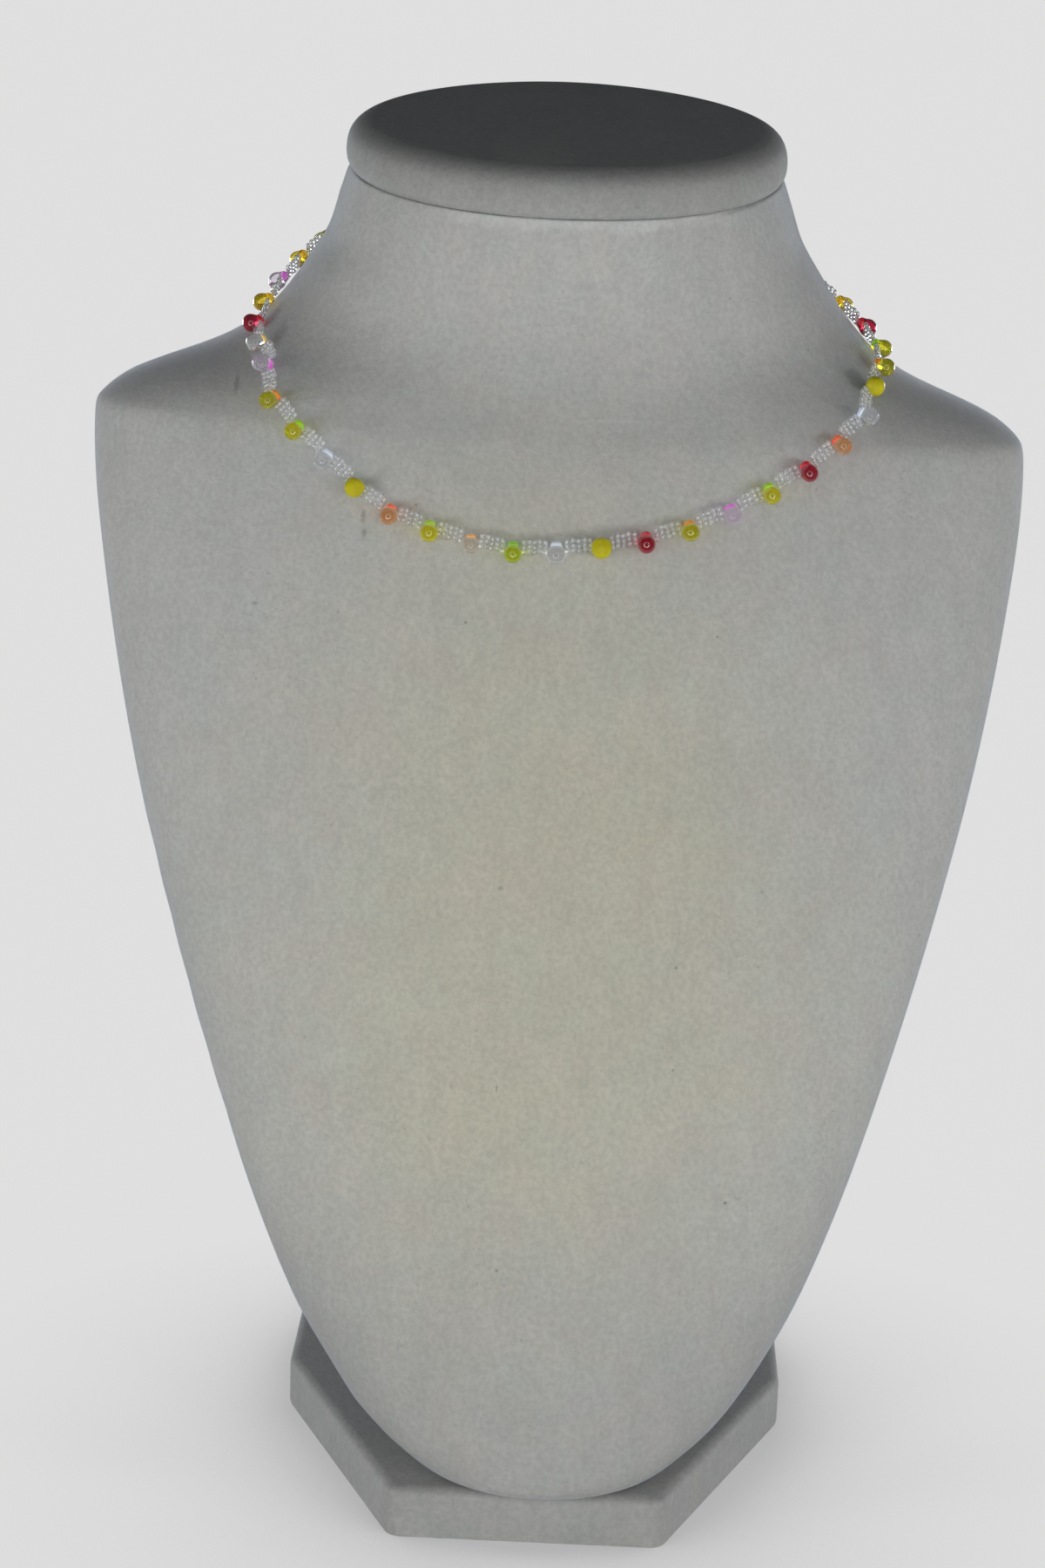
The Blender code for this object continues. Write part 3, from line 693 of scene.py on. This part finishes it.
def finish_materials(name):
    cell = dict(zip(FINISH_COLUMNS, FINISHES[name]))
    if name == "lemon":
        body = satin_glass("satin_glass_lemon", cell["tint"])
    else:
        clear = cell["slot"] in ("glass_clear", "glass_lilac")
        body = glass("drop_glass_" + name, cell["tint"], cloudy=CLEAR_CLOUD if clear else COLOURED_CLOUD,
                     lustre=CLEAR_LUSTRE if clear else 1.0)
    return cell["slot"], [body, paint("lining_" + name, cell["lining"])]


finishes = {name: finish_materials(name) for name in FINISHES}
seed_glass = glass("seed_glass_clear", (0.97, 0.98, 0.99), roughness=0.03, cloudy=0.10, shadow=1.0)
print("glass:", len(finishes), "finishes for", len(DROP_FINISHES), "drops")

# %% [markdown]
# ## The glass drops
# A drop bead is a ball that narrows to a small rounded top, with a bore across the top. The
# outline is the outer edge of two overlapping rounds, melted together. It is spun round its
# long axis, a Boolean drills the bore, and the wall of the bore gets the paint. One master
# shape serves all but the satin ones, which are rounder. Each copy is a little wider or
# longer, as pressed glass is, and hangs down as far as its loose bore lets it.

# %% The master drops
SHAPE_COLUMNS = ("top_wide", "top_high", "ball", "ball_down", "melt")
SHAPES = {
    "pear": (1.22 * MM, 1.05 * MM, 1.93 * MM, 2.00 * MM, 3.6),
    "egg": (1.00 * MM, 0.98 * MM, 2.05 * MM, 1.28 * MM, 2.0),
}
BORE = 0.50 * MM
OUTLINE_STEPS = 20
DROP_SIDES = 32
BORE_SIDES = 20
DRILL_LONG = 6


def drop_radius(shape, z):
    top = shape["top_wide"] * math.sqrt(max(0.0, 1 - (z / shape["top_high"]) ** 2))
    ball = math.sqrt(max(0.0, shape["ball"] ** 2 - (z + shape["ball_down"]) ** 2))
    return (top ** shape["melt"] + ball ** shape["melt"]) ** (1 / shape["melt"])


def spun(outline, sides, closed=False):
    """Points (radius, height) spun round the upright axis into a closed skin."""
    bm = bmesh.new()
    verts = [bm.verts.new((radius, 0, height)) for radius, height in outline]
    edges = [bm.edges.new(pair) for pair in zip(verts, verts[1:])]
    if closed:
        edges.append(bm.edges.new((verts[-1], verts[0])))
    bmesh.ops.spin(bm, geom=verts + edges, cent=(0, 0, 0), axis=(0, 0, 1), angle=2 * math.pi,
                   steps=sides, use_merge=True, use_duplicate=False)
    bmesh.ops.remove_doubles(bm, verts=bm.verts, dist=MERGE / 10)
    bmesh.ops.recalc_face_normals(bm, faces=bm.faces)
    return bm


def loose_object(bm, name):
    mesh = bpy.data.meshes.new(name)
    bm.to_mesh(mesh)
    bm.free()
    item = bpy.data.objects.new(name, mesh)
    bpy.context.scene.collection.objects.link(item)
    return item


def master_drop(name):
    shape = dict(zip(SHAPE_COLUMNS, SHAPES[name]))
    low = -shape["ball_down"] - shape["ball"]
    heights = [low + (shape["top_high"] - low) * (1 + math.cos(math.pi * k / OUTLINE_STEPS)) / 2
               for k in range(OUTLINE_STEPS + 1)]
    middle = [(drop_radius(shape, z), z) for z in heights[1:-1]]
    blank = loose_object(spun([(0.0, heights[0])] + middle + [(0.0, heights[-1])], DROP_SIDES), "drop_blank")
    bm = bmesh.new()
    bmesh.ops.create_cone(bm, cap_ends=True, segments=BORE_SIDES, radius1=BORE, radius2=BORE,
                          depth=DRILL_LONG * shape["top_wide"], matrix=Matrix.Rotation(math.pi / 2, 4, "Y"))
    drill = loose_object(bm, "bore_drill")
    cut = blank.modifiers.new("Bore", "BOOLEAN")
    cut.operation = "DIFFERENCE"
    cut.solver = "EXACT"
    cut.object = drill
    mesh = bpy.data.meshes.new_from_object(blank.evaluated_get(bpy.context.evaluated_depsgraph_get()))
    for item in (blank, drill):
        bpy.data.objects.remove(item, do_unlink=True)
    return mesh


drop_shapes = {name: master_drop(name) for name in SHAPES}
print("master drops:", {name: len(mesh.polygons) for name, mesh in drop_shapes.items()}, "faces")

# %% Thread a drop on every bore
WIDER = 0.05
LONGER = 0.03
ODD_SIZES = {"drop_20": 0.90, "drop_22": 1.04, "drop_23": 1.05}
SWING = math.radians(14)
ON_BORE = 1.02


def hanging(middle, up):
    """Turn the drop on the bust's skin towards the way it would hang, as far as its bore lets it."""
    off = off_bust(middle)
    down = Vector((0, 0, -1))
    down = down - off * down.dot(off)
    axis = -up - off * (-up).dot(off)
    angle = math.atan2(axis.cross(down).dot(off), axis.dot(down))
    return Matrix.Rotation(min(max(angle, -SWING), SWING), 3, off)


def make_drop(name, pair, finish):
    slot, materials = finishes[finish]
    bore = (pair[0] + pair[1]) / 2
    along = (pair[1] - pair[0]).normalized()
    up = bore - middle_of(name)
    up = (up - along * up.dot(along)).normalized()
    turn = hanging(middle_of(name), up) @ Matrix((along, up.cross(along), up)).transposed()
    place = Matrix.Translation(bore) @ turn.to_4x4()
    odd = ODD_SIZES.get(name, 1.0)
    wide = odd * (1 + dice.uniform(-WIDER, WIDER))
    size = Matrix.Diagonal((wide, wide, odd * (1 + dice.uniform(-LONGER, LONGER)), 1))
    bm = bmesh.new()
    bm.from_mesh(drop_shapes["egg" if finish == "lemon" else "pear"])
    for face in bm.faces:
        on_bore = all(math.hypot(v.co.y, v.co.z) < BORE * ON_BORE for v in face.verts)
        face.material_index = 1 if on_bore else 0
        face.smooth = True
    bm.transform(place @ size)
    return piece_from(bm, name.replace("drop", "glass_drop"), materials, [name])


drops = [make_drop(*row) for row in zip(drop_names, bore_pairs, DROP_FINISHES)]
print("drops:", len(drops), "with", sum(len(d.data.polygons) for d in drops), "faces")

# %% [markdown]
# ## The seed beads
# Between two drops stand columns of three clear seed beads, mostly five of them. Their holes
# run up the column, so the camera, which looks down a little, sees the top holes as dark dots.
# The thread goes up one column and down the next. A bead is a closed outline of six points
# spun in ten steps: sixty faces, few enough to repeat it six hundred times in one mesh.

# %% One bead, and where each stands
COLUMNS = 5
COLUMN_PITCH = 1.24 * MM
LONG_PANEL = 7.5 * MM
ROWS = 3
SEED_WIDE = 0.63 * MM
SEED_HIGH = 0.52 * MM
SEED_HOLE = 0.24 * MM
SEED_SIDES = 10
ROW_PITCH = 1.04 * MM
STAGGER = 0.11 * MM
SPREAD = 0.30 * MM
SAG = 0.25 * MM
SEED_JITTER = 0.045 * MM
SEED_TILT = math.radians(6)
SEED_RESIZE = 0.05
SEED_LIP = 0.72
SEED_FLAT = 0.68
SEED_FLANK = 0.42

seed_top = [
    (SEED_HOLE, SEED_HIGH * SEED_LIP),
    (SEED_WIDE * SEED_FLAT, SEED_HIGH),
    (SEED_WIDE, SEED_HIGH * SEED_FLANK),
]
seed_outline = seed_top + [(radius, -height) for radius, height in reversed(seed_top)]


def column_frames(panel):
    """A panel's columns: place, along, up and off, spread a little past its ends."""
    index = 2 * panel
    length = panel_length(panel)
    spare = SPREAD / length if 0 < panel < len(drop_names) else 0.0
    count = COLUMNS if length < LONG_PANEL else round(length / COLUMN_PITCH)
    found = []
    for k in range(count):
        share = -spare + (1 + 2 * spare) * (k + 0.5) / count
        place, along, up, off = frame_on_line(index, share)
        sag = SAG * math.sin(math.pi * (k + 0.5) / count)
        lift = STAGGER if k % 2 else -STAGGER
        found.append((place - off * sag + up * lift, along, up, off))
    return found


columns = [column_frames(panel) for panel in range(len(drop_names) + 1)]
print("columns:", sum(len(panel) for panel in columns))

# %% Weave the beads into one mesh


def make_seeds():
    bead = spun(seed_outline, SEED_SIDES, closed=True)
    master = bpy.data.meshes.new("seed_master")
    bead.to_mesh(master)
    bead.free()
    bm = bmesh.new()
    for panel in columns:
        for place, along, up, off in panel:
            for row in range(ROWS):
                height = (row - (ROWS - 1) / 2) * ROW_PITCH
                wobble = Vector([dice.uniform(-SEED_JITTER, SEED_JITTER) for _ in range(3)])
                turn = Matrix((along, off, up)).transposed()
                turn = turn @ Matrix.Rotation(dice.uniform(-SEED_TILT, SEED_TILT), 3, "X")
                turn = turn @ Matrix.Rotation(dice.uniform(-SEED_TILT, SEED_TILT), 3, "Y")
                size = 1 + dice.uniform(-SEED_RESIZE, SEED_RESIZE)
                matrix = Matrix.Translation(place + up * height + wobble) @ turn.to_4x4()
                before = len(bm.verts)
                bm.from_mesh(master)
                bm.verts.ensure_lookup_table()
                bmesh.ops.transform(bm, matrix=matrix @ Matrix.Scale(size, 4), verts=bm.verts[before:])
    bmesh.ops.recalc_face_normals(bm, faces=bm.faces)
    return piece_from(bm, "seed_beads", [seed_glass], ["seed_band"], sharp=math.pi)


seeds = make_seeds()
print("seed beads:", len(seeds.data.polygons) // (len(seed_outline) * SEED_SIDES), "beads,",
      len(seeds.data.polygons), "faces")

# %% [markdown]
# ## The thread
# One fine thread holds everything. From a drop's bore it runs to the foot of the first
# column, up through it, over the top, down the second and so on, and leaves the last column
# for the next bore. A small ring is extruded from point to point along that way, and its
# two ends are bridged inside the clasp.

# %% The thread's way
THREAD = 0.09 * MM
THREAD_SIDES = 6


def thread_way():
    way = []
    for panel, frames in enumerate(columns):
        way.append(smooth_line(2 * panel, 0.0))
        reach = ROW_PITCH * ROWS / 2 + THREAD
        upwards = True
        for place, along, up, off in frames:
            first, last = (-reach, reach) if upwards else (reach, -reach)
            way.append(place + up * first)
            way.append(place + up * last)
            upwards = not upwards
        way.append(smooth_line(2 * panel, 1.0))
    return way


# %% Extrude a ring along it


def ring_frame(before, here, after, side):
    ahead = (after - before).normalized()
    side = (side - ahead * side.dot(ahead)).normalized()
    return Matrix.Translation(here) @ Matrix((side, ahead.cross(side), ahead)).transposed().to_4x4(), side


def closed_tube(points, radius, sides):
    bm = bmesh.new()
    count = len(points)
    side = off_bust(points[0])
    place, side = ring_frame(points[-1], points[0], points[1], side)
    ring = bmesh.ops.create_circle(bm, segments=sides, radius=radius, matrix=place)["verts"]
    first = list(ring)
    edges = list({e for v in ring for e in v.link_edges})
    for k in range(1, count):
        after, side = ring_frame(points[k - 1], points[k], points[(k + 1) % count], side)
        grown = bmesh.ops.extrude_edge_only(bm, edges=edges)["geom"]
        verts = [item for item in grown if isinstance(item, bmesh.types.BMVert)]
        edges = [item for item in grown if isinstance(item, bmesh.types.BMEdge)]
        bmesh.ops.transform(bm, matrix=after @ place.inverted(), verts=verts)
        place = after
    first_edges = [e for e in bm.edges if all(v in first for v in e.verts)]
    bmesh.ops.bridge_loops(bm, edges=edges + first_edges)
    bmesh.ops.recalc_face_normals(bm, faces=bm.faces)
    return bm


def nylon():
    material, tree, shader = start_material("thread_nylon")
    fine = ramp(tree, noise(tree, own_place(tree), 3000.0), 0.3, 0.7)
    two_tones(tree, shader, fine, (0.62, 0.62, 0.60), (0.80, 0.80, 0.78))
    set_values(shader, {"Roughness": 0.35, "Transmission Weight": 0.3})
    return material


way = thread_way()
thread = piece_from(closed_tube(way, THREAD, THREAD_SIDES), "nylon_thread", [nylon()])
print("thread:", len(way), "points,", round(sum((b - a).length for a, b in zip(way, way[1:])), 3), "m")

# %% [markdown]
# ## The clasp
# At the nape the loop closes in a slim barrel. It is plain turned metal: a rounded body in
# two halves, with a fine groove where they screw together. Its outline is spun like a bead's.

# %% Make the clasp
CLASP_RADIUS = 1.2 * MM
CLASP_MOUTH = 0.5 * MM
CLASP_ROUND = 0.9 * MM
CLASP_GROOVE = 0.10 * MM
CLASP_SIDES = 40
CLASP_ARC = 6
CLASP_CLEAR = 0.3 * MM
CLASP_TAPER = 0.6


def clasp_metal():
    material, tree, shader = start_material("clasp_metal_finish")
    set_values(shader, {"Metallic": 1.0})
    scratch = noise(tree, own_place(tree, scale=(1, 1, 6)), 1600.0, 3.0)
    two_tones(tree, shader, ramp(tree, scratch, 0.3, 0.7), (0.66, 0.67, 0.68), (0.80, 0.81, 0.82))
    tree.links.new(ramp(tree, scratch, 0.3, 0.7, 0.18, 0.34), shader.inputs["Roughness"])
    return material


def make_clasp():
    half = (beside_clasp[1] - beside_clasp[0]).length / 2 - CLASP_CLEAR
    end = []
    for k in range(CLASP_ARC + 1):
        swing = math.pi / 2 * k / CLASP_ARC
        radius = CLASP_RADIUS - CLASP_ROUND * CLASP_TAPER * (1 - math.sin(swing))
        end.append((radius, half - CLASP_ROUND * (1 - math.cos(swing))))
    groove = [(CLASP_RADIUS, CLASP_GROOVE), (CLASP_RADIUS - CLASP_GROOVE, 0.0)]
    upper = [(CLASP_MOUTH, half)] + end + groove
    outline = upper + [(r, -z) for r, z in reversed(upper[:-1])]
    bm = spun(outline, CLASP_SIDES, closed=True)
    middle = (beside_clasp[0] + beside_clasp[1]) / 2
    along = (beside_clasp[1] - beside_clasp[0]).normalized()
    side = off_bust(middle)
    side = (side - along * side.dot(along)).normalized()
    bm.transform(Matrix.Translation(middle) @ Matrix((side, along.cross(side), along)).transposed().to_4x4())
    bmesh.ops.recalc_face_normals(bm, faces=bm.faces)
    return piece_from(bm, "barrel_clasp", [clasp_metal()], ["clasp"])


clasp = make_clasp()
print("clasp:", len(clasp.data.polygons), "faces")

# %% [markdown]
# ## Floor and light
# The picture was lit from round the lens, which is why every glass ball carries a small ring
# of light at its middle and why the neck's flat top, seen at a grazing angle, stays dark. A
# ring of soft light round the lens, brighter below than above, does the same. Two wide lamps
# at the chest's height, one on each side, keep the chest bright to its edges, and two behind
# the bust give it a cool rim and light its back. A pale sky fills in a little. The floor is
# plain and glows evenly. It gives no light to the bust, because the real one stood on
# something that threw none back, and it is shaded only close round the foot.

# %% The floor
FLOOR_REACH = 70.0
FLOOR_GLOW = 0.74
FLOOR_SHADE = (0.60, 0.60, 0.61, 1)
FLOOR_SHADE_REACH = 0.12
SHADE_FADES_FROM = 0.22
SHADE_FADES_TO = 0.34


def floor_finish():
    material, tree, shader = start_material("floor_finish")
    set_values(shader, {"Base Color": (0, 0, 0, 1), "Specular IOR Level": 0.0, "Roughness": 0.8,
                        "Emission Strength": FLOOR_GLOW})
    open_sky = add_node(tree, "ShaderNodeAmbientOcclusion", {"Distance": FLOOR_SHADE_REACH}, "AO", samples=8)
    away = ramp(tree, distance(tree, own_place(tree)), SHADE_FADES_FROM, SHADE_FADES_TO)
    pale = maths(tree, "MAXIMUM", ramp(tree, open_sky, 0.45, 1.0), away)
    tree.links.new(blend_colours(tree, pale, FLOOR_SHADE, (1, 1, 1, 1)), shader.inputs["Emission Color"])
    return material


bm = bmesh.new()
bmesh.ops.create_circle(bm, cap_ends=True, segments=96, radius=FLOOR_REACH)
floor = loose_object(bm, "floor")
floor.data.materials.append(floor_finish())
floor.visible_diffuse = False
floor.visible_glossy = False
floor.visible_shadow = False

# %% The ring of light round the lens
RING_LIGHT_RADIUS = 0.38
RING_LIGHT_DOWN = 0.06
RING_LIGHT_THICK = 0.035
RING_LIGHT_LOW = 5.8
RING_LIGHT_TOP = 1.7
RING_SIDES = 64
RING_FLATS = 10
RING_COLOUR = (1.0, 0.985, 0.95, 1)


def ring_light():
    turns = [2 * math.pi * k / RING_FLATS for k in range(RING_FLATS)]
    outline = [(RING_LIGHT_RADIUS + RING_LIGHT_THICK * math.cos(turn), RING_LIGHT_THICK * math.sin(turn))
               for turn in turns]
    lamp = loose_object(spun(outline, RING_SIDES, closed=True), "ring_light")
    lamp.data.transform(Matrix.Translation((0, 0, -RING_LIGHT_DOWN)) @ camera.matrix_world)
    material = bpy.data.materials.new("ring_light_glow")
    material.use_nodes = True
    tree = material.node_tree
    tree.nodes.clear()
    height = add_node(tree, "ShaderNodeSeparateXYZ", {0: own_place(tree)}, 2)
    reach = lens_place.z - RING_LIGHT_DOWN
    strength = ramp(tree, height, reach - RING_LIGHT_RADIUS, reach + RING_LIGHT_RADIUS,
                    RING_LIGHT_LOW, RING_LIGHT_TOP)
    glow = add_node(tree, "ShaderNodeEmission", {"Color": RING_COLOUR, "Strength": strength})
    end = tree.nodes.new("ShaderNodeOutputMaterial")
    tree.links.new(glow, end.inputs["Surface"])
    lamp.data.materials.append(material)
    lamp.visible_camera = False


ring_light()

# %% Wide lamps beside the bust and behind it
LAMP_COLUMNS = ("across", "inward", "up", "wide", "high", "power", "colour", "shines")
LAMPS = {
    "side_lamp": (0.62, -0.36, 0.13, 0.40, 0.30, 1.5, (1.0, 0.99, 0.97), False),
    "rim_lamp": (0.75, 0.90, 0.14, 0.50, 0.30, 4.0, (0.88, 0.93, 1.0), True),
}
LAMPS_AIM = Vector((0, 0, 0.14))


def wide_lamp(name, side):
    """One of a pair; where it doesn't shine, glass and gloss don't mirror it."""
    cell = dict(zip(LAMP_COLUMNS, LAMPS[name]))
    data = bpy.data.lights.new(name, "AREA")
    data.shape = "RECTANGLE"
    data.size = cell["wide"]
    data.size_y = cell["high"]
    data.energy = cell["power"]
    data.color = cell["colour"]
    lamp = bpy.data.objects.new(name, data)
    bpy.context.scene.collection.objects.link(lamp)
    place = Vector((side * cell["across"], cell["inward"], cell["up"]))
    lamp.location = place
    lamp.rotation_euler = (place - LAMPS_AIM).to_track_quat("Z", "Y").to_euler()
    lamp.visible_camera = False
    lamp.visible_glossy = cell["shines"]


for name in LAMPS:
    for side in (-1, 1):
        wide_lamp(name, side)

# %% The sky
SKY_STRENGTH = 0.11
SKY_LOW = (0.95, 0.97, 1.0, 1)
SKY_HIGH = (0.42, 0.45, 0.50, 1)

world = bpy.data.worlds.new("sky")
bpy.context.scene.world = world
world.use_nodes = True
sky = world.node_tree
sky_way = add_node(sky, "ShaderNodeTexCoord", {}, "Generated")
sky_up = add_node(sky, "ShaderNodeSeparateXYZ", {0: sky_way}, 2)
sky_share = ramp(sky, sky_up, 0.0, 0.7)
sky_colour = blend_colours(sky, sky_share, SKY_LOW, SKY_HIGH)
sky.links.new(sky_colour, sky.nodes["Background"].inputs["Color"])
sky.nodes["Background"].inputs["Strength"].default_value = SKY_STRENGTH
bpy.context.scene.view_settings.view_transform = "Standard"
print("light: ring of", RING_LIGHT_RADIUS, "m and sky at", SKY_STRENGTH)
